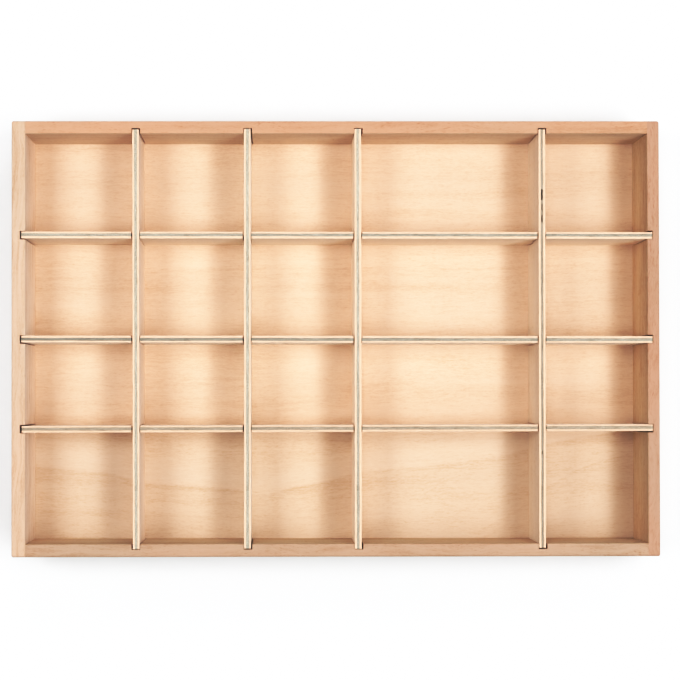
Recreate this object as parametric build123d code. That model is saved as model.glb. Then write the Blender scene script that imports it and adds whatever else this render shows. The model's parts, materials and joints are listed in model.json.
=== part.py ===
"""Sorting tray: four beech rails, finger-jointed at the corners, a plywood base let into a rebate, and a
lift-out grid of seven plywood dividers that are half-lapped where they cross and stand in grooves in the rails.

Millimetres. +X runs along the long side, +Y towards the back long rail, +Z up.
The origin is the centre of the tray's outline, at its underside.
"""

from build123d import *
import os

# ---- driving dimensions (mm) -------------------------------------------------
length = 380.0  # outside, along X
width = 255.5  # outside, along Y
height = 40.0  # outside, underside to rim

left_rail_t = 8.1  # the four rails are planed by eye and differ a little
right_rail_t = 7.1
back_rail_t = 7.4
front_rail_t = 7.6

outer_arris_r = 1.2  # rounding of the outside edges at the rim and the corners
foot_arris_r = 0.8  # rounding of the outside edges at the underside
inner_arris_r = 0.5  # rounding of the inside edges at the rim

fingers = 5  # fingers in each corner joint; the end rails have the top and bottom ones
finger_h = height / fingers

base_t = 4.0  # plywood base, flush with the underside
base_let_in = 4.0  # how far the base reaches under each rail
base_gap = 0.15  # clearance of the base in its rebate

groove_w = 5.0  # upright grooves that hold the divider ends
groove_d = 3.2

divider_t = 4.0  # three-ply plywood
divider_drop = 0.3  # divider tops lie this far under the rim
divider_arris_r = 0.25
notch_w = 5.0  # half-lap notches, made with the same cutter as the grooves
lap_clear = 0.3  # each notch goes this far past the middle of the divider

cross_len = [245.9, 246.0, 246.3, 245.7]  # lengths of the dividers that run along Y, each cut to fit
long_len = [370.1, 370.1, 369.9]  # lengths of the dividers that run along X

# groove centres, the same in both opposite rails
cross_groove_x = [-117.2, -51.65, 13.3, 121.17]
long_groove_y = [60.7, -0.39, -52.73]  # back to front

# where each loose divider rests within the play of its two grooves:
# offset of its middle plane from the groove centre at each end, and of its middle along its length
cross_sit = [  # (at the front end, at the back end, along Y)
    (0.20, -0.18, -0.15),
    (-0.33, -0.27, 0.14),
    (-0.38, -0.33, 0.00),
    (-0.27, -0.08, 0.07),
]
long_sit = [  # (at the left end, at the right end, along X)
    (0.20, -0.32, 0.85),
    (0.32, -0.32, 0.82),
    (-0.24, 0.35, 0.97),
]
notch_shift = -0.15  # the notches in the long dividers are a little left of the dividers they hold

# ---- derived -----------------------------------------------------------------
hx, hy = length / 2, width / 2
in_l, in_r = -hx + left_rail_t, hx - right_rail_t
in_f, in_b = -hy + front_rail_t, hy - back_rail_t
rim = height
div_top = height - divider_drop
div_bot = base_t
div_h = div_top - div_bot
lap_z = (div_top + div_bot) / 2
tiny = 1e-4


def block(x0, x1, y0, y1, z0, z1):
    """Axis-aligned block between two corners."""
    return Pos((x0 + x1) / 2, (y0 + y1) / 2, (z0 + z1) / 2) * Box(x1 - x0, y1 - y0, z1 - z0)


def on(value, target):
    return abs(value - target) < tiny


def one_solid(shape):
    """The single solid of a result."""
    solids = shape.solids()
    assert len(solids) == 1, len(solids)
    return solids[0]


# ---- the four rails, cut from one ring so that their joints and roundings agree ----
ring = block(-hx, hx, -hy, hy, 0, rim)


def outer_soft(e):
    """Edges of the outline: the rim and the four upright corners."""
    c = e.center()
    side = on(abs(c.X), hx) or on(abs(c.Y), hy)
    return side and (on(c.Z, rim) or (on(abs(c.X), hx) and on(abs(c.Y), hy)))


ring = fillet([e for e in ring.edges() if outer_soft(e)], outer_arris_r)
foot_edges = [e for e in ring.edges() if on(e.center().Z, 0)]
ring = fillet(foot_edges, foot_arris_r)

ring = ring - block(in_l, in_r, in_f, in_b, -5, rim + 5)
inner_edges = [
    e
    for e in ring.edges()
    if on(e.center().Z, rim)
    and (on(e.center().X, in_l) or on(e.center().X, in_r) or on(e.center().Y, in_f) or on(e.center().Y, in_b))
    and abs(e.center().X) < hx - 3
    and abs(e.center().Y) < hy - 3
]
assert len(inner_edges) == 4, len(inner_edges)
ring = fillet(inner_edges, inner_arris_r)

# rebate for the base, all round the inside at the underside
ring = ring - block(
    in_l - base_let_in, in_r + base_let_in, in_f - base_let_in, in_b + base_let_in, -5, base_t
)

# upright grooves
for x in cross_groove_x:
    ring = ring - block(x - groove_w / 2, x + groove_w / 2, in_b - 1, in_b + groove_d, base_t, rim + 5)
    ring = ring - block(x - groove_w / 2, x + groove_w / 2, in_f - groove_d, in_f + 1, base_t, rim + 5)
for y in long_groove_y:
    ring = ring - block(in_l - groove_d, in_l + 1, y - groove_w / 2, y + groove_w / 2, base_t, rim + 5)
    ring = ring - block(in_r - 1, in_r + groove_d, y - groove_w / 2, y + groove_w / 2, base_t, rim + 5)


def end_rail(x0, x1):
    """Short rail: full depth of the tray at fingers 1, 3 and 5, shorter at 2 and 4."""
    body = ring & block(x0, x1, -hy - 1, hy + 1, -1, rim + 1)
    for k in range(1, fingers, 2):
        z0, z1 = k * finger_h, (k + 1) * finger_h
        body = body - block(x0 - 1, x1 + 1, in_b, hy + 2, z0, z1)
        body = body - block(x0 - 1, x1 + 1, -hy - 2, in_f, z0, z1)
    return one_solid(body)


def long_rail(y0, y1):
    """Long rail: stops at the end rails at fingers 1, 3 and 5, and passes through them at 2 and 4."""
    body = ring & block(-hx - 1, hx + 1, y0, y1, -1, rim + 1)
    for k in range(0, fingers, 2):
        z0 = k * finger_h - (1 if k == 0 else 0)
        z1 = (k + 1) * finger_h + (1 if k == fingers - 1 else 0)
        body = body - block(-hx - 2, in_l, y0 - 1, y1 + 1, z0, z1)
        body = body - block(in_r, hx + 2, y0 - 1, y1 + 1, z0, z1)
    return one_solid(body)


left_end_rail = end_rail(-hx - 1, in_l)
right_end_rail = end_rail(in_r, hx + 1)
back_rail = long_rail(in_b, hy + 1)
front_rail = long_rail(-hy - 1, in_f)

# ---- base --------------------------------------------------------------------
base_panel = one_solid(
    block(
        in_l - base_let_in + base_gap,
        in_r + base_let_in - base_gap,
        in_f - base_let_in + base_gap,
        in_b + base_let_in - base_gap,
        0,
        base_t,
    )
)


# ---- dividers ----------------------------------------------------------------
def plate(run, along_x):
    """Upright plywood plate with eased top edges, centred on the origin in plan."""
    dx, dy = (run, divider_t) if along_x else (divider_t, run)
    p = block(-dx / 2, dx / 2, -dy / 2, dy / 2, div_bot, div_top)
    top_long = [e for e in p.edges() if on(e.center().Z, div_top) and abs(e.length - run) < tiny]
    return fillet(top_long, divider_arris_r)


def cross_line(i, y):
    """X of a cross divider's middle plane at a given Y."""
    front, back, _ = cross_sit[i]
    s = (y + hy) / width
    return cross_groove_x[i] + front + (back - front) * s


def long_line(j, x):
    """Y of a long divider's middle plane at a given X."""
    left, right, _ = long_sit[j]
    s = (x + hx) / length
    return long_groove_y[j] + left + (right - left) * s


def crossing(i, j):
    """Plan position where cross divider i and long divider j meet."""
    x, y = cross_groove_x[i], long_groove_y[j]
    for _ in range(4):
        x, y = cross_line(i, y), long_line(j, x)
    return x, y


from math import atan2, degrees

cross_dividers = []
for i in range(len(cross_groove_x)):
    front, back, along = cross_sit[i]
    turn = -degrees(atan2(back - front, width))
    xm, ym = cross_line(i, along), along
    p = Pos(xm, ym, 0) * Rot(0, 0, turn) * plate(cross_len[i], False)
    for j in range(len(long_groove_y)):
        cx, cy = crossing(i, j)
        p = p - block(cx - 8, cx + 8, cy - notch_w / 2, cy + notch_w / 2, div_bot - 5, lap_z + lap_clear)
    cross_dividers.append(one_solid(p))

long_dividers = []
for j in range(len(long_groove_y)):
    left, right, along = long_sit[j]
    turn = degrees(atan2(right - left, length))
    xm, ym = along, long_line(j, along)
    p = Pos(xm, ym, 0) * Rot(0, 0, turn) * plate(long_len[j], True)
    for i in range(len(cross_groove_x)):
        cx, cy = crossing(i, j)
        cx += notch_shift
        p = p - block(cx - notch_w / 2, cx + notch_w / 2, cy - 8, cy + 8, lap_z - lap_clear, rim + 5)
    long_dividers.append(one_solid(p))

# ---- export ------------------------------------------------------------------
nodes = {
    "left_end_rail": left_end_rail,
    "right_end_rail": right_end_rail,
    "back_rail": back_rail,
    "front_rail": front_rail,
    "base_panel": base_panel,
}
for i, p in enumerate(cross_dividers):
    nodes["cross_divider_%d" % (i + 1)] = p
for j, p in enumerate(long_dividers):
    nodes["long_divider_%d" % (j + 1)] = p

os.makedirs("parts", exist_ok=True)
for name, solid in nodes.items():
    solid.label = name
    export_step(solid, os.path.join("parts", name + ".step"))

# compartments, as clear boxes between the dividers (mm), for whoever fills the tray
rows = [in_b] + long_groove_y + [in_f]
print("nodes", len(nodes))
for r in range(len(long_groove_y) + 1):
    for c in range(len(cross_groove_x) + 1):
        x_lo = in_l if c == 0 else max(cross_line(c - 1, y) for y in (-hy, hy)) + divider_t / 2
        x_hi = in_r if c == len(cross_groove_x) else min(cross_line(c, y) for y in (-hy, hy)) - divider_t / 2
        y_hi = in_b if r == 0 else min(long_line(r - 1, x) for x in (-hx, hx)) - divider_t / 2
        y_lo = in_f if r == len(long_groove_y) else max(long_line(r, x) for x in (-hx, hx)) + divider_t / 2
        print("compartment row %d column %d: x %.2f..%.2f y %.2f..%.2f" % (r + 1, c + 1, x_lo, x_hi, y_lo, y_hi))
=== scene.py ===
"""Sorting tray: beech rails, plywood base and loose half-lapped plywood dividers, seen from straight above.

Metres, +X to the right of the picture, +Y up the picture, +Z towards the camera.
"""

import json
import math

import bmesh
import bpy
import numpy as np
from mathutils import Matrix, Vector


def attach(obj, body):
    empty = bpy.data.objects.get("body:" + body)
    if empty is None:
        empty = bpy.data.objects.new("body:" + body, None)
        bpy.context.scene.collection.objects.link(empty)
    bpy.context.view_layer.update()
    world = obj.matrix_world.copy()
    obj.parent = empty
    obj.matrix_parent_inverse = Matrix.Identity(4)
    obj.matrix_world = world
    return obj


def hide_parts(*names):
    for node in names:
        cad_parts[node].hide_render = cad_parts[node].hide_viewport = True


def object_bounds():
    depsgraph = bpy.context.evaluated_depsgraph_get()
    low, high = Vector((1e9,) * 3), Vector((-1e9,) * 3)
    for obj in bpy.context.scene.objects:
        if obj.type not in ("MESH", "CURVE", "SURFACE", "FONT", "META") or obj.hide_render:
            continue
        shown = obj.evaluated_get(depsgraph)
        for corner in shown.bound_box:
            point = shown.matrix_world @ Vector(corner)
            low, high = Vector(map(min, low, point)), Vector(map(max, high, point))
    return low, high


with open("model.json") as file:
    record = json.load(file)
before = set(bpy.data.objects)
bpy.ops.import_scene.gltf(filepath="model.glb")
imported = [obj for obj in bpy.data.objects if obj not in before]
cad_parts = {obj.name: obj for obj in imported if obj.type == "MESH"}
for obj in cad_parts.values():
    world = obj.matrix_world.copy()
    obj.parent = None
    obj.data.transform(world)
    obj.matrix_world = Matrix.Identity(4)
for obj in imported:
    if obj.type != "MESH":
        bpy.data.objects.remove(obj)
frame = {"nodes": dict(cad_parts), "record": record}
cad_box = [list(map(float, c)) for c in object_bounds()]
nodes = frame["nodes"]
bodies = frame["record"]["behaviour"]["bodies"]
body_of = {n: b for b, ns in bodies.items() for n in ns}
scene = bpy.context.scene


# ---------------------------------------------------------------- node helpers
class Tree:
    """Short names for building a material's node tree. Lengths are in millimetres along the grain frame."""

    def __init__(self, name):
        self.mat = bpy.data.materials.new(name)
        self.mat.use_nodes = True
        self.nt = self.mat.node_tree
        self.nt.nodes.clear()
        self.out = self.nt.nodes.new("ShaderNodeOutputMaterial")
        self.bsdf = self.nt.nodes.new("ShaderNodeBsdfPrincipled")
        self.nt.links.new(self.bsdf.outputs[0], self.out.inputs[0])

    def new(self, kind, **props):
        n = self.nt.nodes.new(kind)
        for k, v in props.items():
            setattr(n, k, v)
        return n

    def put(self, socket, value):
        """Links an output, or sets a constant."""
        if isinstance(value, bpy.types.NodeSocket):
            self.nt.links.new(value, socket)
        elif value is not None:
            socket.default_value = value

    def math(self, op, a, b=None, c=None, clamp=False):
        n = self.new("ShaderNodeMath", operation=op, use_clamp=clamp)
        self.put(n.inputs[0], a)
        self.put(n.inputs[1], b)
        self.put(n.inputs[2], c)
        return n.outputs[0]

    def add(self, *xs):
        r = xs[0]
        for x in xs[1:]:
            r = self.math("ADD", r, x)
        return r

    def sub(self, a, b):
        return self.math("SUBTRACT", a, b)

    def mul(self, *xs):
        r = xs[0]
        for x in xs[1:]:
            r = self.math("MULTIPLY", r, x)
        return r

    def vmath(self, op, a, b=None):
        n = self.new("ShaderNodeVectorMath", operation=op)
        self.put(n.inputs[0], a)
        self.put(n.inputs[1], b)
        return n.outputs[0]

    def split(self, v):
        n = self.new("ShaderNodeSeparateXYZ")
        self.put(n.inputs[0], v)
        return n.outputs[0], n.outputs[1], n.outputs[2]

    def join(self, x, y, z):
        n = self.new("ShaderNodeCombineXYZ")
        for s, v in zip(n.inputs, (x, y, z)):
            self.put(s, v)
        return n.outputs[0]

    def span(self, v, a, b, c=0.0, d=1.0, smooth=True):
        """Maps a..b to c..d, clamped."""
        n = self.new("ShaderNodeMapRange", clamp=True)
        n.interpolation_type = "SMOOTHSTEP" if smooth else "LINEAR"
        for s, x in zip(n.inputs, (v, a, b, c, d)):
            self.put(s, x)
        return n.outputs[0]

    def noise(self, v, detail=2.0, rough=0.5, distort=0.0):
        n = self.new("ShaderNodeTexNoise", noise_dimensions="3D")
        self.put(n.inputs["Vector"], v)
        n.inputs["Scale"].default_value = 1.0
        n.inputs["Detail"].default_value = detail
        n.inputs["Roughness"].default_value = rough
        n.inputs["Distortion"].default_value = distort
        return n.outputs["Fac"]

    def swing(self, v, detail=2.0, rough=0.5):
        """Noise about zero."""
        return self.sub(self.noise(v, detail, rough), 0.5)

    def cells(self, v, jitter=1.0):
        """Distance to the nearest cell centre, and two random numbers of that cell."""
        n = self.new("ShaderNodeTexVoronoi", voronoi_dimensions="3D", feature="F1", distance="EUCLIDEAN")
        self.put(n.inputs["Vector"], v)
        n.inputs["Scale"].default_value = 1.0
        n.inputs["Randomness"].default_value = jitter
        r, g, _ = self.split(n.outputs["Color"])
        return n.outputs["Distance"], r, g

    def blend(self, f, a, b, kind="MIX"):
        """Colour a to b by f."""
        n = self.new("ShaderNodeMix", data_type="RGBA", blend_type=kind)
        n.clamp_factor = True
        self.put(n.inputs[0], f)
        for s, x in ((n.inputs[6], a), (n.inputs[7], b)):
            if isinstance(x, tuple) and len(x) == 3:
                x = (*x, 1.0)
            self.put(s, x)
        return n.outputs[2]

    def ramp(self, f, stops):
        n = self.new("ShaderNodeValToRGB")
        n.color_ramp.interpolation = "LINEAR"
        e = n.color_ramp.elements
        while len(e) < len(stops):
            e.new(0.5)
        for el, (p, c) in zip(e, stops):
            el.position = p
            el.color = (*c, 1.0)
        self.put(n.inputs[0], f)
        return n.outputs[0]

    def curve(self, x, lo, hi, pts):
        """A smooth curve through (x, value) points, for x between lo and hi."""
        vs = [p[1] for p in pts]
        v0, v1 = min(vs), max(vs)
        n = self.new("ShaderNodeFloatCurve")
        c = n.mapping.curves[0]
        for k, (px, pv) in enumerate(pts):
            q = ((px - lo) / (hi - lo), (pv - v0) / (v1 - v0))
            if k < 2:
                c.points[k].location = q
            else:
                c.points.new(*q)
        n.mapping.update()
        self.put(n.inputs["Value"], self.span(x, lo, hi, smooth=False))
        return self.math("MULTIPLY_ADD", n.outputs[0], v1 - v0, v0)

    def bump(self, height, distance, strength=1.0):
        n = self.new("ShaderNodeBump")
        n.inputs["Strength"].default_value = strength
        n.inputs["Distance"].default_value = distance
        self.put(n.inputs["Height"], height)
        self.nt.links.new(n.outputs[0], self.bsdf.inputs["Normal"])

    def place(self, grain, seed):
        """Object position in mm with the grain along the first axis, moved to a part of the pattern of its own; the raw position; the normal."""
        tc = self.new("ShaderNodeTexCoord")
        mm = self.vmath("MULTIPLY", tc.outputs["Object"], (1000.0, 1000.0, 1000.0))
        x, y, z = self.split(mm)
        v = self.join(x, y, z) if grain == "X" else self.join(y, x, z)
        rng = np.random.default_rng(seed)
        off = tuple(float(o) for o in rng.uniform(-4000, 4000, 3))
        return self.vmath("ADD", v, off), (x, y, z), tc.outputs["Normal"]

    def stretch(self, v, along, across, deep=None):
        deep = across if deep is None else deep
        return self.vmath("MULTIPLY", v, (1.0 / along, 1.0 / across, 1.0 / deep))


def tint(c, k):
    return tuple(a * b for a, b in zip(c, k)) if isinstance(k, tuple) else tuple(a * k for a in c)


def wood_ramp(t, tone, mean, dark=(0.72, 0.58, 0.46), pale=(1.07, 1.11, 1.17)):
    """Tone 0.5 is the mean colour; lower is browner and redder, higher is paler."""
    mix = lambda a, b, f: tuple(p + (q - p) * f for p, q in zip(a, b))
    one = (1.0, 1.0, 1.0)
    return t.ramp(
        tone,
        [
            (0.0, tint(mean, dark)),
            (0.25, tint(mean, mix(one, dark, 0.50))),
            (0.5, mean),
            (0.75, tint(mean, mix(one, pale, 0.55))),
            (1.0, tint(mean, pale)),
        ],
    )


def beech_grain(t, v, warp=1.0, band=0.4, line=0.4, dash=0.3, fleck=0.3, length=2.6, pitch=1.0, streak=3.0, reach=15.0):
    """Tone about 0.5 of a beech face, with the mask of its brown flecks and its fine fibre relief."""
    wob = t.swing(t.stretch(v, 46, 24), 2.0, 0.5)
    wob2 = t.swing(t.stretch(v, 11, 7), 1.0, 0.5)
    shift = t.add(t.mul(wob, 9.0 * warp), t.mul(wob2, 2.2 * warp))
    w = t.vmath("ADD", v, t.join(0.0, shift, 0.0))
    bands = t.swing(t.stretch(w, 170, 8.0 * pitch), 3.0, 0.55)
    blotch = t.swing(t.stretch(v, 60, 30), 2.0, 0.5)
    lines = t.swing(t.stretch(w, reach, 1.7 * pitch), 2.0, 0.55)
    dashes = t.swing(t.stretch(w, streak, 0.72), 2.0, 0.55)
    hair = t.swing(t.stretch(v, 1.5, 0.30), 1.0, 0.5)
    tone = t.add(0.5, t.mul(bands, band), t.mul(blotch, 0.6 * band), t.mul(lines, line), t.mul(dashes, dash), t.mul(hair, 0.7 * dash))
    # short spindle-shaped flecks, thicker in some places than others
    d, r, g = t.cells(t.stretch(w, length, 0.62, 1.1))
    size = t.span(g, 0.0, 1.0, 0.20, 0.44, smooth=False)
    a = t.mul(t.sub(1.0, t.span(t.math("DIVIDE", d, size), 0.35, 1.25)), t.span(r, 0.30, 0.70))
    d2, r2, _ = t.cells(t.stretch(w, 2.2 * length, 0.8, 1.4))
    b = t.mul(t.sub(1.0, t.span(t.math("DIVIDE", d2, 0.30), 0.4, 1.2)), t.span(r2, 0.66, 0.85))
    where = t.span(t.noise(t.stretch(v, 26, 9), 2.0, 0.5), 0.36, 0.60, 0.45, 1.0)
    mask = t.mul(t.math("MAXIMUM", a, t.mul(b, 0.9)), where)
    tone = t.sub(tone, t.mul(mask, fleck))
    relief = t.add(t.mul(hair, 0.5), t.mul(dashes, 0.6), t.mul(mask, -0.5))
    return tone, mask, relief, w


def finish(t, colour, relief, tone, rough=0.60, distance=0.00006):
    t.put(t.bsdf.inputs["Base Color"], colour)
    t.put(t.bsdf.inputs["Roughness"], t.span(tone, 0.2, 0.8, rough + 0.07, rough - 0.06, smooth=False))
    t.bsdf.inputs["Specular IOR Level"].default_value = 0.25
    t.bump(relief, distance)
    return t.mat


def height_tone(t, colour, z, low, high):
    """Changes an upright face from the tone low near the floor to the tone high near the rim. Both are fitted to the
    photograph and make up for light that the lamps of this scene don't give. They aren't a property of the wood: for
    other lighting, set them all to 1."""
    n = t.new("ShaderNodeMix", data_type="RGBA", blend_type="MIX")
    t.put(n.inputs[0], t.span(z, 5.0, 38.5, smooth=False))
    t.put(n.inputs[6], (*low, 1.0))
    t.put(n.inputs[7], (*high, 1.0))
    return t.blend(1.0, colour, n.outputs[2], "MULTIPLY")


def end_grain(t, v, mean, grain_seed=0.0):
    """Cut ends of the fibres: darker, with pores, growth rings and fine rays."""
    pore = t.noise(t.stretch(v, 1e6, 0.22), 2.0, 0.6)
    ring = t.noise(t.stretch(v, 1e6, 14.0, 1.6), 3.0, 0.6)
    ray = t.noise(t.stretch(v, 1e6, 0.35, 4.0), 2.0, 0.6)
    e = t.add(t.mul(pore, 0.4), t.mul(ring, 0.35), t.mul(ray, 0.25))
    return t.ramp(
        e,
        [
            (0.30, tint(mean, (0.56, 0.46, 0.37))),
            (0.50, tint(mean, (0.74, 0.65, 0.56))),
            (0.72, tint(mean, (0.88, 0.82, 0.76))),
        ],
    ), pore


def solid_beech(name, grain, seed, top, inner, inward, low, high, lean=0.0, drift=1.0, **kw):
    """Planed solid beech, with end grain where a face cuts the fibres. The colours of the rim (top) and of the face
    inside the tray (inner) are fitted apart from each other. Their difference is mostly painted light: the inner face
    is painted lighter than the rim to make up for light that the lamps of this scene don't give, and the rest is the
    wood's own. The outer faces, which the photograph doesn't show, are a guess between the two, so they carry part of
    that painted light. Inward is the direction of the face inside the tray."""
    t = Tree(name)
    v, (x, y, z), nrm = t.place(grain, seed)
    # the grain runs out of the board at a slight angle, and its colour drifts from pinker to browner along it
    v = t.vmath("ADD", v, t.join(0.0, t.mul(x if grain == "X" else y, -lean), 0.0))
    slow = t.swing(t.stretch(v, 75, 22, 60), 2.0, 0.5)
    tone, fleck, relief, w = beech_grain(t, v, **kw)
    outer = tuple(0.55 * a + 0.45 * b for a, b in zip(top, inner))
    nx, ny, nz = t.split(nrm)
    facing = t.mul(nx if inward[0] else ny, float(inward[0] + inward[1]))
    is_top = t.span(t.math("ABSOLUTE", nz), 0.45, 0.85)
    # the face inside the tray takes the inner colour, painted lighter than the rim, with painted light and shade by
    # height (height_tone)
    side = t.blend(t.span(facing, 0.3, 0.7), wood_ramp(t, tone, outer), height_tone(t, wood_ramp(t, tone, inner), z, low, high))
    side = t.blend(is_top, side, wood_ramp(t, tone, top))
    pinker = tuple(1.0 + drift * d for d in (0.03, -0.022, -0.035))
    browner = tuple(1.0 + drift * d for d in (-0.045, -0.015, -0.005))
    side = t.blend(1.0, side, t.blend(t.span(slow, -0.26, 0.26), pinker, browner), "MULTIPLY")
    end, pore = end_grain(t, v, outer)
    along = t.math("ABSOLUTE", nx if grain == "X" else ny)
    is_end = t.span(along, 0.80, 0.92)
    return finish(t, t.blend(is_end, side, end), relief, tone)


def floor_ply(name, seed, mean):
    """Rotary-cut beech veneer on the base, grain along X. A cathedral figure runs along the front row of compartments."""
    t = Tree(name)
    v, (x, y, z), nrm = t.place("X", seed)
    top = t.span(z, 1.0, 3.0)
    # the lowest growth ring of the figure: a shallow V along the front row
    ring_y = t.curve(
        x,
        -190,
        190,
        [(-190, -75.5), (-165, -78.0), (-135, -81.2), (-112, -87.0), (-80, -89.0), (-58, -91.0), (-46, -93.6), (-30, -90.5), (-8, -86.0), (18, -80.0), (60, -75.5), (100, -70.5), (131, -62.5), (190, -53.0)],
    )
    jag = t.add(t.mul(t.swing(t.stretch(v, 9, 30), 2.0, 0.6), 1.6), t.mul(t.swing(t.stretch(v, 2.2, 30), 1.0, 0.5), 0.5))
    fade = t.span(t.noise(t.stretch(v, 34, 200), 1.0, 0.5), 0.34, 0.62, 0.35, 1.0)
    g = t.add(t.sub(y, ring_y), jag)
    over = t.math("MAXIMUM", g, 0.0)
    under = t.math("MAXIMUM", t.math("MULTIPLY", g, -1.0), 0.0)
    edge = t.span(g, 1.3, -1.1)
    strength = t.curve(x, -190, 190, [(-190, 0.6), (-120, 0.6), (-110, 0.9), (-60, 1.0), (-48, 0.8), (-5, 0.9), (12, 0.25), (60, 0.35), (75, 0.8), (112, 0.8), (124, 0.5), (190, 0.5)])
    ring = t.mul(edge, t.add(t.mul(t.math("POWER", 2.718, t.mul(under, -1.0 / 3.4)), fade, strength, 0.13), t.mul(t.math("POWER", 2.718, t.mul(under, -1.0 / 16.0)), 0.05)))
    ragged = t.mul(t.swing(t.stretch(v, 40, 9), 2.0, 0.5), 9.0)
    glow = t.mul(t.sub(1.0, edge), t.span(t.add(over, ragged), 20.0, 5.0), 0.115)
    # a second ring nested in the right arm of the V
    ring2_y = t.curve(x, 80, 190, [(80, -122.0), (92, -114.0), (106, -106.5), (121, -97.0), (138, -84.5), (162, -74.0), (190, -68.0)])
    g2 = t.add(t.sub(y, ring2_y), jag)
    ring2 = t.mul(t.span(g2, 0.6, -0.4), t.math("POWER", 2.718, t.mul(t.math("MAXIMUM", t.math("MULTIPLY", g2, -1.0), 0.0), -1.0 / 3.0)), t.span(x, 82, 96), 0.07)
    # the grain leans a little with the figure near the front
    lean = t.mul(t.add(ring_y, 85.0), t.span(y, -40.0, -75.0, 0.05, 0.30))
    v2 = t.vmath("ADD", v, t.join(0.0, t.math("MULTIPLY", lean, -1.0), 0.0))
    tone, fleck, relief, w = beech_grain(t, v2, warp=0.6, band=0.34, line=0.27, dash=0.42, fleck=0.12, pitch=0.70, streak=3.6)
    # wavy growth lines across the middle rows
    wl = t.swing(t.stretch(w, 75, 3.6), 2.0, 0.5)
    mid_rows = t.mul(t.span(y, 66.0, 52.0, 0.35, 1.0), t.span(y, -66.0, -50.0, 0.2, 1.0))
    tone = t.sub(tone, t.mul(t.span(wl, 0.02, 0.22), mid_rows, 0.06))
    tone = t.sub(t.add(tone, t.mul(glow, top)), t.mul(t.add(ring, ring2), top))
    colour = wood_ramp(t, tone, mean, dark=(0.74, 0.60, 0.48), pale=(1.10, 1.17, 1.25))
    # the front row is browner in the photograph; this tone is fitted
    zone = t.mul(t.span(t.add(y, t.mul(t.swing(t.stretch(v, 70, 30), 1.0, 0.5), 8.0)), -47.0, -60.0), top)
    colour = t.blend(zone, colour, (0.872, 0.885, 0.885), "MULTIPLY")
    # a slow change of tone along the sheet, fitted column by column, which may be light as much as wood
    sheet = t.curve(x, -190, 190, [(-190, 0.955), (-150, 0.96), (-85, 1.01), (-20, 1.04), (60, 0.985), (190, 0.98)])
    colour = t.blend(1.0, colour, t.join(sheet, sheet, sheet), "MULTIPLY")
    return finish(t, colour, relief, tone)


# ---------------------------------------------------------------- plywood dividers
# how the middle ply runs in each divider: how far it reaches to the left or front and to the right or back of the
# middle plane (mm), how pale its sawn edge is at the start and the end of the strip, how pale the outer plies are,
# and gaps left in it as (centre along the divider, length, half width, depth) in mm
PLIES = {
    "cross_divider_1": ((0.88, 0.84), (1.05, 1.10), 0.98, []),
    "cross_divider_2": ((0.76, 0.96), (1.04, 1.16), 0.98, [(-31.0, 1.6, 0.16, 0.25)]),
    "cross_divider_3": ((0.86, 0.74), (0.92, 1.20), 0.99, []),
    "cross_divider_4": ((0.70, 0.70), (0.68, 0.85), 0.97, [(84.3, 6.4, 0.36, 1.7), (76.6, 6.0, 0.27, 0.55), (70.2, 5.0, 0.30, 0.9), (44.0, 3.4, 0.20, 0.35), (-6.0, 4.5, 0.18, 0.30), (-67.0, 3.0, 0.26, 0.6), (-92.0, 7.0, 0.18, 0.3)]),
    "long_divider_1": ((0.70, 0.98), (0.95, 0.86), 0.98, []),
    "long_divider_2": ((1.00, 0.76), (0.62, 0.92), 0.95, [(-42.0, 5.0, 0.20, 0.35), (-150.0, 4.0, 0.16, 0.25)]),
    "long_divider_3": ((0.80, 1.02), (0.76, 0.86), 0.88, [(-160.0, 5.0, 0.18, 0.25)]),
}
HALF = 2.0  # half the divider's thickness
# the colour of each divider's faces, its tones near the floor and near the rim (see height_tone), and on two of them
# a tint of the middle ply. All are fitted to the photograph divider by divider, so they hold light as well as wood
FACES = {
    "cross_divider_1": ((0.732, 0.576, 0.470), (1.08, 1.07, 1.05), (0.87, 0.90, 0.96)),
    "cross_divider_2": ((0.712, 0.643, 0.563), (1.02, 1.02, 1.01), (0.97, 0.98, 0.99)),
    "cross_divider_3": ((0.764, 0.612, 0.495), (1.03, 1.03, 1.02), (0.96, 0.97, 0.98)),
    "cross_divider_4": ((0.660, 0.525, 0.411), (1.05, 1.06, 1.08), (0.91, 0.92, 0.96), (1.09, 1.0, 0.96)),
    "long_divider_1": ((0.760, 0.623, 0.503), (1.07, 1.07, 1.07), (0.91, 0.93, 0.97)),
    "long_divider_2": ((0.776, 0.681, 0.593), (1.05, 1.05, 1.05), (0.94, 0.96, 0.98)),
    "long_divider_3": ((0.756, 0.636, 0.532), (1.07, 1.07, 1.07), (0.91, 0.93, 0.97), (1.11, 1.0, 0.94)),
}


def ply_waves(seed):
    """The same slow waves of the glue lines for the mesh and for its material: (amplitude, length, phase) for each side."""
    rng = np.random.default_rng(900 + seed)
    return [[(a, float(rng.uniform(lo, hi)), float(rng.uniform(0, 6.28))) for a, lo, hi in ((0.055, 60, 110), (0.040, 24, 40), (0.022, 9, 15))] for _ in range(2)]


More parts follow.
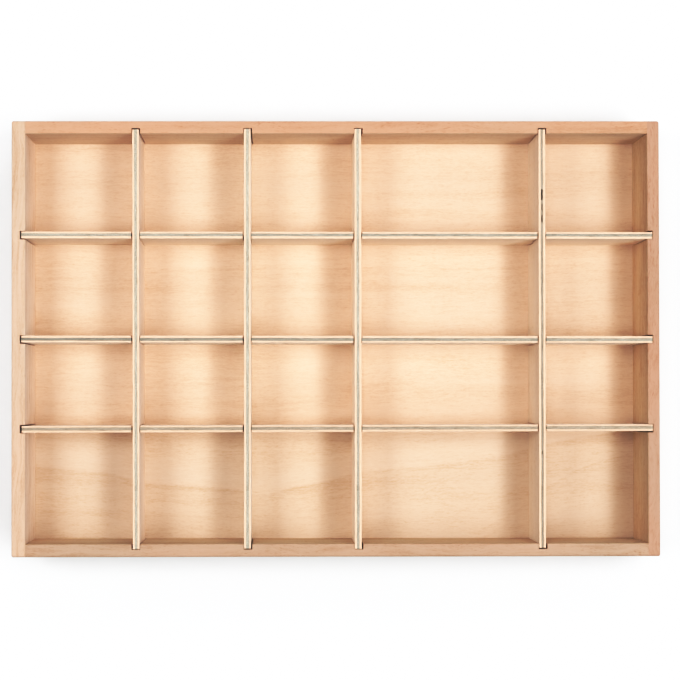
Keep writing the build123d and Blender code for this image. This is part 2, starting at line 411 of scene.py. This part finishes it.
def divider_ply(name, grain, seed, mean, mid, slope, core_half, core_tone, outer_tone, waves, low, high, stain=(1.0, 1.0, 1.0)):
    """Three-ply: faces of beech veneer, and plies showing on every sawn edge."""
    t = Tree(name)
    v, (x, y, z), nrm = t.place(grain, seed)
    tone, fleck, relief, w = beech_grain(t, v, warp=0.6, band=0.36, line=0.28, dash=0.34, fleck=0.22)
    face = height_tone(t, wood_ramp(t, tone, mean), z, low, high)
    run, across = (x, y) if grain == "X" else (y, x)
    off = t.sub(across, t.math("MULTIPLY_ADD", run, slope, mid))
    side = t.span(off, -0.02, 0.02, smooth=False)
    edge_at = []
    for half, s in zip(waves, core_half):
        for amp, wl, ph in half:
            s = t.math("MULTIPLY_ADD", t.math("SINE", t.math("MULTIPLY_ADD", run, 2 * math.pi / wl, ph)), amp, s)
        edge_at.append(s)
    edge_half = t.add(t.mul(edge_at[0], t.sub(1.0, side)), t.mul(edge_at[1], side))
    fray = t.mul(t.swing(t.join(t.mul(run, 1 / 1.3), t.mul(z, 1 / 1.3), t.mul(off, 1 / 3)), 2.0, 0.6), 0.16)
    depth = t.sub(t.add(t.math("ABSOLUTE", off), fray), edge_half)
    in_core = t.span(depth, 0.05, -0.05)
    glue = t.mul(t.sub(1.0, t.span(t.math("ABSOLUTE", depth), 0.02, 0.12)), t.span(t.noise(t.join(t.mul(run, 1 / 5), t.mul(z, 1 / 5), 7.0 + seed), 2.0, 0.5), 0.40, 0.66))
    # sawn edge of the outer plies: pale, drawn out along the fibres
    fine = t.swing(t.join(t.mul(run, 1 / 3.5), t.mul(off, 1 / 0.22), t.mul(z, 1 / 3.5)), 2.0, 0.6)
    pale = t.blend(t.span(fine, -0.22, 0.22), tint((0.635, 0.415, 0.290), outer_tone), tint((0.770, 0.530, 0.390), outer_tone))
    # sawn edge of the middle ply: end grain, greyer, streaked and blotched
    pore = t.noise(t.join(t.mul(run, 1 / 0.9), t.mul(off, 1 / 0.40), t.mul(z, 1 / 0.9)), 3.0, 0.65)
    draw = t.noise(t.join(t.mul(run, 1 / 4.5), t.mul(off, 1 / 0.45), t.mul(z, 1 / 4.5)), 2.0, 0.55)
    blot = t.noise(t.join(t.mul(run, 1 / 19), t.mul(off, 1 / 3), t.mul(z, 1 / 19)), 2.0, 0.5)
    k = t.add(t.mul(pore, 0.46), t.mul(draw, 0.34), t.mul(blot, 0.20))
    core = t.ramp(
        k,
        [
            (0.34, (0.160, 0.135, 0.098)),
            (0.44, (0.269, 0.243, 0.196)),
            (0.54, (0.349, 0.322, 0.266)),
            (0.65, (0.434, 0.408, 0.348)),
        ],
    )
    reach = 180.0 if grain == "X" else 120.0
    level = t.span(run, -reach, reach, *core_tone, smooth=False)
    core = t.blend(1.0, core, t.join(*[t.mul(level, s) for s in stain]), "MULTIPLY")
    edge = t.blend(in_core, pale, core)
    edge = t.blend(t.mul(glue, 0.32), edge, (0.20, 0.15, 0.09))
    # inside a gap of the middle ply it is painted nearly black: painted shade in the hollow, together with dark glue
    deep = t.mul(t.span(z, 39.45, 39.10), t.sub(1.0, t.span(t.math("ABSOLUTE", off), 0.50, 0.60)), t.span(z, 37.0, 37.2))
    edge = t.blend(t.mul(deep, 0.85), edge, (0.085, 0.055, 0.030))
    nx, ny, nz = t.split(nrm)
    flat = t.math("ABSOLUTE", ny if grain == "X" else nx)
    # a face of veneer where the position is on the plate's side, a sawn edge elsewhere
    is_edge = t.math("MAXIMUM", t.span(t.math("ABSOLUTE", off), HALF - 0.06, HALF - 0.16), t.span(flat, 0.55, 0.35))
    colour = t.blend(is_edge, face, edge)
    h = t.add(t.mul(relief, t.sub(1.0, is_edge)), t.mul(is_edge, t.add(t.mul(fine, 0.4), t.mul(in_core, t.mul(pore, 1.2)))))
    return finish(t, colour, h, tone)


def mid_plane(node, axis):
    """Middle plane of an upright plate, across = mid + slope * run, in mm, from its foot."""
    co = np.array([v.co for v in nodes[node].data.vertices]) * 1000
    low = co[co[:, 2] < co[:, 2].min() + 0.01]
    run, across = (low[:, 0], low[:, 1]) if axis == "X" else (low[:, 1], low[:, 0])
    slope, mid = np.polyfit(run, across, 1)
    return float(mid), float(slope)


def smooth_random(rng, s, step):
    """Random values about zero, -1..1, that change smoothly over a length of step."""
    n = int(np.ceil((s.max() - s.min()) / step)) + 3
    ctl = rng.uniform(-1, 1, n)
    x = (s - s.min()) / step
    i = np.floor(x).astype(int)
    f = x - i
    f = f * f * (3 - 2 * f)
    return ctl[i] * (1 - f) + ctl[i + 1] * f


def divider_mesh(node, axis, seed, waves):
    """The divider with its three plies as real relief on the sawn edges: eased arrises of uneven width,
    a slightly lower, torn middle ply, fine glue grooves, and the gaps that the middle ply has."""
    core_half, _, _, gaps = PLIES[node]
    mid, slope = mid_plane(node, axis)
    co = np.array([v.co for v in nodes[node].data.vertices]) * 1000
    run = co[:, 0] if axis == "X" else co[:, 1]
    z = co[:, 2]
    lo, hi, bot, top = run.min(), run.max(), z.min(), z.max()
    inner = (z > bot + 5) & (z < top - 5)
    lap = float(z[inner].mean())
    cuts = sorted(set(np.round(run[inner], 2)))
    cuts = [c for k, c in enumerate(cuts) if k == 0 or c - cuts[k - 1] > 0.05]
    pairs = list(zip(cuts[0::2], cuts[1::2]))
    from_top = axis == "X"
    # outline of the plate, anticlockwise in (run, z), as straight stretches with a sampling step
    pts = [(lo, bot)]
    if not from_top:
        for a, b in pairs:
            pts += [(a, bot), (a, lap), (b, lap), (b, bot)]
    pts += [(hi, bot), (hi, top)]
    if from_top:
        for a, b in reversed(pairs):
            pts += [(b, top), (b, lap), (a, lap), (a, top)]
    pts += [(lo, top)]
    P, N, kind = [], [], []
    n = len(pts)
    for k in range(n):
        p, q = np.array(pts[k]), np.array(pts[(k + 1) % n])
        d = q - p
        length = np.hypot(*d)
        d = d / length
        nrm = np.array([d[1], -d[0]])
        is_top = abs(p[1] - top) < 1e-6 and abs(q[1] - top) < 1e-6
        step = 0.55 if is_top else 1.6
        m = max(1, int(round(length / step)))
        for i in range(m):
            P.append(p + d * length * i / m)
            N.append(nrm)
            kind.append(1.0 if is_top else 0.0)
    P, N, kind = np.array(P), np.array(N), np.array(kind)
    prev = np.roll(N, 1, axis=0)
    both = N + prev
    N = both / (1 + (N * prev).sum(1))[:, None]
    kind = np.minimum(kind, np.roll(kind, 1))  # a corner takes the plainer treatment
    rng = np.random.default_rng(500 + seed)
    seg = np.hypot(*(np.roll(P, -1, axis=0) - P).T)
    s = np.concatenate([[0], np.cumsum(seg)[:-1]])
    count = len(P)

    def wave(side):
        w = np.full(count, core_half[side])
        for amp, wl, ph in waves[side]:
            w = w + amp * np.sin(P[:, 0] * 2 * math.pi / wl + ph)
        return w

    stations, depths = [], []

    def station(t_mm, depth):
        stations.append(np.broadcast_to(t_mm, (count,)).copy())
        depths.append(np.broadcast_to(depth, (count,)).copy())

    for side, sign in ((0, -1.0), (1, 1.0)):
        r = np.where(kind > 0.5, 0.27 + 0.06 * smooth_random(rng, s, 7.0) + 0.05 * smooth_random(rng, s, 1.4), 0.12)
        w = wave(side)
        arris, inner_st = [], []
        for a in (90, 60, 30, 0):
            a = math.radians(a)
            arris.append((sign * (HALF - r + r * math.sin(a)), r * (1 - math.cos(a))))
        fuzz = lambda amp, step: amp * (0.5 + 0.5 * smooth_random(rng, s, step))
        outer_mid = sign * (w + (HALF - r)) / 2
        inner_st.append((outer_mid, fuzz(0.020, 1.5) * kind))
        inner_st.append((sign * (w + 0.07), fuzz(0.015, 1.2) * kind))
        inner_st.append((sign * (w + 0.01), 0.05 * kind + fuzz(0.03, 2.5) * kind))
        inner_st.append((sign * (w - 0.06), 0.035 * kind + fuzz(0.04, 1.0) * kind))
        half = arris + inner_st
        if side == 0:
            for tt, dd in half:
                station(tt, dd)
            w0 = w
            # middle ply
            w1 = wave(1)
            cols = 11
            for c in range(1, cols):
                f = c / cols
                tt = -(w0 - 0.06) * (1 - f) + (w1 - 0.06) * f
                torn = 0.035 + 0.05 * (0.5 + 0.5 * smooth_random(rng, s, 0.8)) + 0.05 * np.maximum(smooth_random(rng, s, 3.0), 0)
                station(tt, torn * kind)
        else:
            for tt, dd in reversed(half):
                station(tt, dd)
    T, Dp = np.array(stations), np.array(depths)
    # gaps in the middle ply, along the top edge only
    for at, length, half_w, deep in gaps:
        along = 1 - np.abs(P[:, 0] - at) / (length / 2)
        wob = 0.08 * np.sin(P[:, 0] * 2.1 + at)
        along = np.clip(along * 3.0 + 0.35 * smooth_random(rng, s, 0.9), 0, 1)
        near = np.clip((half_w - np.abs(T - wob)) / 0.09, 0, 1)
        Dp = np.maximum(Dp, deep * along * near * (kind > 0.5))
    base = np.stack([P[:, 0], P[:, 1]], 1)
    verts = []
    for j in range(len(T)):
        q = base - N * Dp[j][:, None]
        a = mid + slope * q[:, 0] + T[j]
        xyz = np.stack([q[:, 0], a, q[:, 1]], 1) if axis == "X" else np.stack([a, q[:, 0], q[:, 1]], 1)
        verts.append(xyz / 1000)
    verts = np.concatenate(verts)
    faces = []
    m = len(T)
    for j in range(m - 1):
        for i in range(count):
            k = (i + 1) % count
            f = (j * count + i, j * count + k, (j + 1) * count + k, (j + 1) * count + i)
            faces.append(f)
    faces.append(tuple(range(count))[::-1])
    faces.append(tuple((m - 1) * count + i for i in range(count)))
    me = bpy.data.meshes.new(node + "_plies")
    me.from_pydata(verts.tolist(), [], faces)
    bm = bmesh.new()
    bm.from_mesh(me)
    bmesh.ops.recalc_face_normals(bm, faces=bm.faces)
    for f in bm.faces:
        f.smooth = True
    bm.to_mesh(me)
    bm.free()
    return me


def eased_mesh(node, ease):
    """The node's shape with every sharp edge eased a little, as after sanding."""
    bm = bmesh.new()
    bm.from_mesh(nodes[node].data)
    bmesh.ops.remove_doubles(bm, verts=bm.verts, dist=2e-7)
    bmesh.ops.dissolve_limit(bm, angle_limit=math.radians(0.6), verts=bm.verts, edges=bm.edges)
    sharp = [e for e in bm.edges if len(e.link_faces) == 2 and e.calc_face_angle(0.0) > math.radians(50)]
    bmesh.ops.bevel(bm, geom=sharp, offset=ease, offset_type="OFFSET", segments=2, profile=0.5, affect="EDGES", clamp_overlap=True)
    bmesh.ops.remove_doubles(bm, verts=bm.verts, dist=1e-7)
    bmesh.ops.recalc_face_normals(bm, faces=bm.faces)
    for f in bm.faces:
        f.smooth = True
    me = bpy.data.meshes.new(node + "_wood")
    bm.to_mesh(me)
    bm.free()
    return me


def stand_in(node, me, mat):
    """Shows the mesh in place of the CAD node, on the same body."""
    o = bpy.data.objects.new(me.name, me)
    scene.collection.objects.link(o)
    me.materials.append(mat)
    wn = o.modifiers.new("flat_faces", "WEIGHTED_NORMAL")
    wn.mode = "FACE_AREA"
    wn.weight = 100
    wn.keep_sharp = False
    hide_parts(node)
    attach(o, body_of[node])
    return o


# for each rail: rim colour, then the inner-face colour painted lighter than the rim as painted light, then the painted
# light and shade by height of height_tone
stand_in("left_end_rail", eased_mesh("left_end_rail", 0.00014), solid_beech("beech_left_end", "Y", 11, (0.480, 0.334, 0.246), (0.675, 0.532, 0.437), (1, 0), (1.12, 1.10, 1.07), (0.90, 0.92, 0.94), lean=0.05, drift=0.7, warp=1.1, band=0.60, line=1.05, dash=0.32, fleck=0.20, pitch=1.0, reach=42.0))
stand_in("right_end_rail", eased_mesh("right_end_rail", 0.00014), solid_beech("beech_right_end", "Y", 12, (0.376, 0.232, 0.166), (0.505, 0.371, 0.250), (-1, 0), (1.18, 1.19, 1.19), (0.85, 0.83, 0.82), lean=0.02, drift=1.0, warp=1.5, band=0.55, line=0.58, dash=0.42, fleck=0.26, length=3.8))
stand_in("back_rail", eased_mesh("back_rail", 0.00014), solid_beech("beech_back", "X", 13, (0.444, 0.262, 0.178), (0.570, 0.441, 0.338), (0, -1), (1.11, 1.11, 1.12), (0.96, 0.94, 0.93), lean=0.01, drift=0.8, warp=0.9, band=0.46, line=0.52, dash=0.38, fleck=0.32, length=3.0, reach=20.0))
stand_in("front_rail", eased_mesh("front_rail", 0.00014), solid_beech("beech_front", "X", 14, (0.381, 0.256, 0.184), (0.467, 0.354, 0.247), (0, 1), (1.05, 1.04, 1.04), (0.97, 0.96, 0.96), lean=-0.015, drift=1.0, warp=1.3, band=0.70, line=0.76, dash=0.36, fleck=0.28, reach=26.0))
stand_in("base_panel", eased_mesh("base_panel", 0.0002), floor_ply("beech_veneer_floor", 21, (0.744, 0.538, 0.403)))
for i in (1, 2, 3, 4):
    n = "cross_divider_%d" % i
    mid, slope = mid_plane(n, "Y")
    waves = ply_waves(i)
    mat = divider_ply("ply_" + n, "Y", 30 + i, FACES[n][0], mid, slope, *PLIES[n][:3], waves, *FACES[n][1:])
    stand_in(n, divider_mesh(n, "Y", i, waves), mat)
for j in (1, 2, 3):
    n = "long_divider_%d" % j
    mid, slope = mid_plane(n, "X")
    waves = ply_waves(10 + j)
    mat = divider_ply("ply_" + n, "X", 40 + j, FACES[n][0], mid, slope, *PLIES[n][:3], waves, *FACES[n][1:])
    stand_in(n, divider_mesh(n, "X", 10 + j, waves), mat)


# ---------------------------------------------------------------- floor, camera, light
def ground():
    """White studio floor. It is open under the tray, and its underside lets the camera through, so that the tray can
    be seen from below."""
    t = Tree("studio_floor")
    t.bsdf.inputs["Base Color"].default_value = (0.755, 0.77, 0.782, 1)
    t.bsdf.inputs["Roughness"].default_value = 0.9
    t.bsdf.inputs["Specular IOR Level"].default_value = 0.1
    geo = t.new("ShaderNodeNewGeometry")
    clear = t.new("ShaderNodeBsdfTransparent")
    mix = t.new("ShaderNodeMixShader")
    t.put(mix.inputs[0], geo.outputs["Backfacing"])
    t.nt.links.new(t.bsdf.outputs[0], mix.inputs[1])
    t.nt.links.new(clear.outputs[0], mix.inputs[2])
    t.nt.links.new(mix.outputs[0], t.out.inputs[0])
    me = bpy.data.meshes.new("studio_floor")
    (x0, y0, _), (x1, y1, _) = cad_box
    inset, count, radius = 0.0016, 96, 1.15
    rim = [(radius * math.cos(2 * math.pi * k / count), radius * math.sin(2 * math.pi * k / count), -0.0003) for k in range(count)]
    hole = []
    for rx, ry, _ in rim:
        s = min((x1 - inset) / max(abs(rx), 1e-9), (y1 - inset) / max(abs(ry), 1e-9))
        hole.append((rx * s, ry * s, -0.0003))
    me.from_pydata(rim + hole, [], [(k, (k + 1) % count, count + (k + 1) % count, count + k) for k in range(count)])
    o = bpy.data.objects.new("studio_floor", me)
    o.data.materials.append(t.mat)
    scene.collection.objects.link(o)


ground()

cam = bpy.data.cameras.new("camera")
cam_o = bpy.data.objects.new("camera", cam)
scene.collection.objects.link(cam_o)
scene.camera = cam_o
cam_o.location = (-0.0349, -0.03731, 0.88752)
cam_o.rotation_euler = [math.radians(a) for a in (0.57, -0.39, -0.07)]
cam.sensor_width = 36.0
cam.lens = 1448.0 / 680.0 * 36.0
cam.shift_x, cam.shift_y = 0.0789, 0.0705
cam.clip_start = 0.01

world = bpy.data.worlds.new("studio")
scene.world = world
world.use_nodes = True
# a weak sky for the tray, white paper behind it, and a soft fill from below for looks at the underside
wt = world.node_tree
sky, paper = wt.nodes["Background"], wt.nodes.new("ShaderNodeBackground")
at, part_of, below = wt.nodes.new("ShaderNodeTexCoord"), wt.nodes.new("ShaderNodeSeparateXYZ"), wt.nodes.new("ShaderNodeMapRange")
wt.links.new(at.outputs["Generated"], part_of.inputs[0])
wt.links.new(part_of.outputs[2], below.inputs[0])
for k, v in enumerate((-0.02, -0.12, 0.0, 1.0)):
    below.inputs[k + 1].default_value = v
fill, air = wt.nodes.new("ShaderNodeBackground"), wt.nodes.new("ShaderNodeMixShader")
for shade, colour, strength in ((sky, (0.95, 0.98, 0.99, 1.0), 0.107), (fill, (1.0, 0.98, 0.95, 1.0), 0.95), (paper, (1.0, 1.0, 1.0, 1.0), 0.93)):
    shade.inputs[0].default_value = colour
    shade.inputs[1].default_value = strength
wt.links.new(below.outputs[0], air.inputs[0])
wt.links.new(sky.outputs[0], air.inputs[1])
wt.links.new(fill.outputs[0], air.inputs[2])
path, either = wt.nodes.new("ShaderNodeLightPath"), wt.nodes.new("ShaderNodeMixShader")
wt.links.new(path.outputs["Is Camera Ray"], either.inputs[0])
wt.links.new(air.outputs[0], either.inputs[1])
wt.links.new(paper.outputs[0], either.inputs[2])
wt.links.new(either.outputs[0], wt.nodes["World Output"].inputs[0])


def soft_box(name, where, wide, deep, radiance, aim=None, tone=(1.0, 1.0, 1.0)):
    """A softbox of the given brightness, facing straight down or aimed at the tray."""
    ld = bpy.data.lights.new(name, "AREA")
    ld.shape = "RECTANGLE"
    ld.size, ld.size_y = wide, deep
    ld.energy = wide * deep * math.pi * radiance
    ld.color = tone
    lo = bpy.data.objects.new(name, ld)
    lo.location = where
    if aim:
        lo.rotation_euler = (Vector((0, 0, 0)) - Vector(where)).to_track_quat("-Z", "Y").to_euler()
    scene.collection.objects.link(lo)


# a bank of softboxes on the right, a weaker one on the left, and a small one overhead
soft_box("right_back", (0.560, 1.20, 1.20), 0.37, 0.60, 7.9)
soft_box("right_inner", (0.450, -0.30, 1.20), 0.16, 1.20, 4.4)
soft_box("right_mid", (0.645, -0.30, 1.20), 0.21, 1.20, 12.8)
soft_box("right_front", (0.560, -1.20, 1.20), 0.37, 0.60, 6.7)
soft_box("right_outer", (0.860, -0.30, 1.20), 0.22, 1.20, 4.2)
soft_box("right_outer_back", (0.860, 1.20, 1.20), 0.22, 0.60, 4.0)
soft_box("left_far", (-0.762, 0.0, 1.20), 0.425, 0.60, 3.8)
soft_box("left_near", (-0.555, 0.0, 0.75), 0.40, 0.40, 6.7)
soft_box("overhead", (-0.060, 0.0, 0.75), 0.12, 0.40, 5.2)
# low bounce cards at the back, the left and the right
for name, turn, rise, radiance in (("card_back", 90, 28, 5.4), ("card_back_high", 90, 42, 1.2), ("card_left", 180, 28, 4.5), ("card_right", 0, 28, 1.5), ("card_right_high", 0, 42, 1.9)):
    a, e = math.radians(turn), math.radians(rise)
    soft_box(name, (1.2 * math.cos(a) * math.cos(e), 1.2 * math.sin(a) * math.cos(e), 1.2 * math.sin(e)), 0.9, 0.25, radiance, aim=True, tone=(0.98, 0.99, 1.0))

vs = scene.view_settings
vs.view_transform = "Standard"
vs.look = "None"
vs.exposure = 0.0
vs.gamma = 1.0
# the contrast of an ordinary photograph: a soft shoulder in the lights and slightly deeper darks
vs.use_curve_mapping = True
cm = vs.curve_mapping
cm.use_clip = True
cm.clip_max_x = 2.0
cm.clip_max_y = 1.0
cm.extend = "HORIZONTAL"
tone_points = [(0.0, 0.0), (0.10, 0.05), (0.20, 0.125), (0.30, 0.245), (0.40, 0.380), (0.50, 0.510), (0.60, 0.630), (0.70, 0.738), (0.80, 0.828), (0.90, 0.903), (1.0, 0.958), (1.08, 0.986), (1.16, 1.0)]
for channel in range(3):
    line = cm.curves[channel]
    line.points[0].location = tone_points[0]
    line.points[-1].location = tone_points[-1]
    for p in tone_points[1:-1]:
        line.points.new(*p)
cm.update()

bpy.context.view_layer.update()
